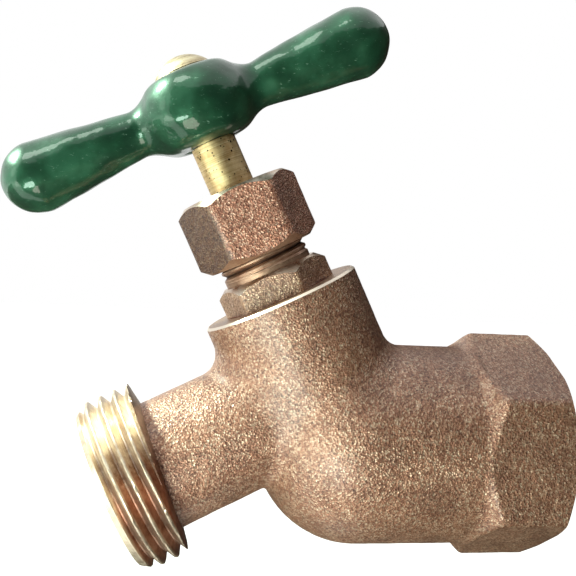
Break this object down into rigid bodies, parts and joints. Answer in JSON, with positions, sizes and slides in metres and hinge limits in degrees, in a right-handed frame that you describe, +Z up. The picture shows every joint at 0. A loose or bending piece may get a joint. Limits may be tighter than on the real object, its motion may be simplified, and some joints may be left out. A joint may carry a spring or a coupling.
{
  "type": "hose bibb",
  "caption": "Angled garden hose tap in cast bronze with a green tee handle, a female pipe inlet and a male hose-thread spout.",
  "frame": {"origin": "centre of the inlet mouth, on the inlet's axis", "axes": "+X along the inlet towards the supply pipe, +Z up; the spout points towards -X and down, and the stem leans back over it"},
  "size_m": [0.0866, 0.0318, 0.0876],
  "materials": {
    "cast_bronze": "sand-cast and tumbled, with machined edges",
    "turned_brass": "turned, bright",
    "green_enamel": "glossy dipped enamel",
    "black_rubber": "matte",
    "graphite": "pressed graphite",
    "fibre": "red vulcanised fibre"
  },
  "bodies": {
    "valve_body": {"body": "cast_bronze", "bonnet": "turned_brass", "bonnet_gasket": "fibre", "packing_ring_1": "graphite", "packing_ring_2": "graphite", "packing_ring_3": "graphite", "packing_gland": "turned_brass", "packing_nut": "cast_bronze"},
    "washer": {"seat_washer": "black_rubber"},
    "spindle": {"stem": "turned_brass", "washer_screw": "turned_brass", "handle": "green_enamel", "handle_screw": "turned_brass"}
  },
  "joints": [
    {"name": "stem_rise", "type": "slide", "parent": "valve_body", "child": "washer", "axis": [-0.4462, 0, 0.8949], "range_m": [0, 0.007]},
    {"name": "handle_turn", "type": "hinge", "parent": "washer", "child": "spindle", "pos_m": [-0.032, 0, 0], "axis": [-0.4462, 0, 0.8949], "range_deg": [0, 990]}
  ],
  "couplings": [
    {"joint": "stem_rise", "follows": "handle_turn", "m_per_rad": 0.00040425}
  ]
}
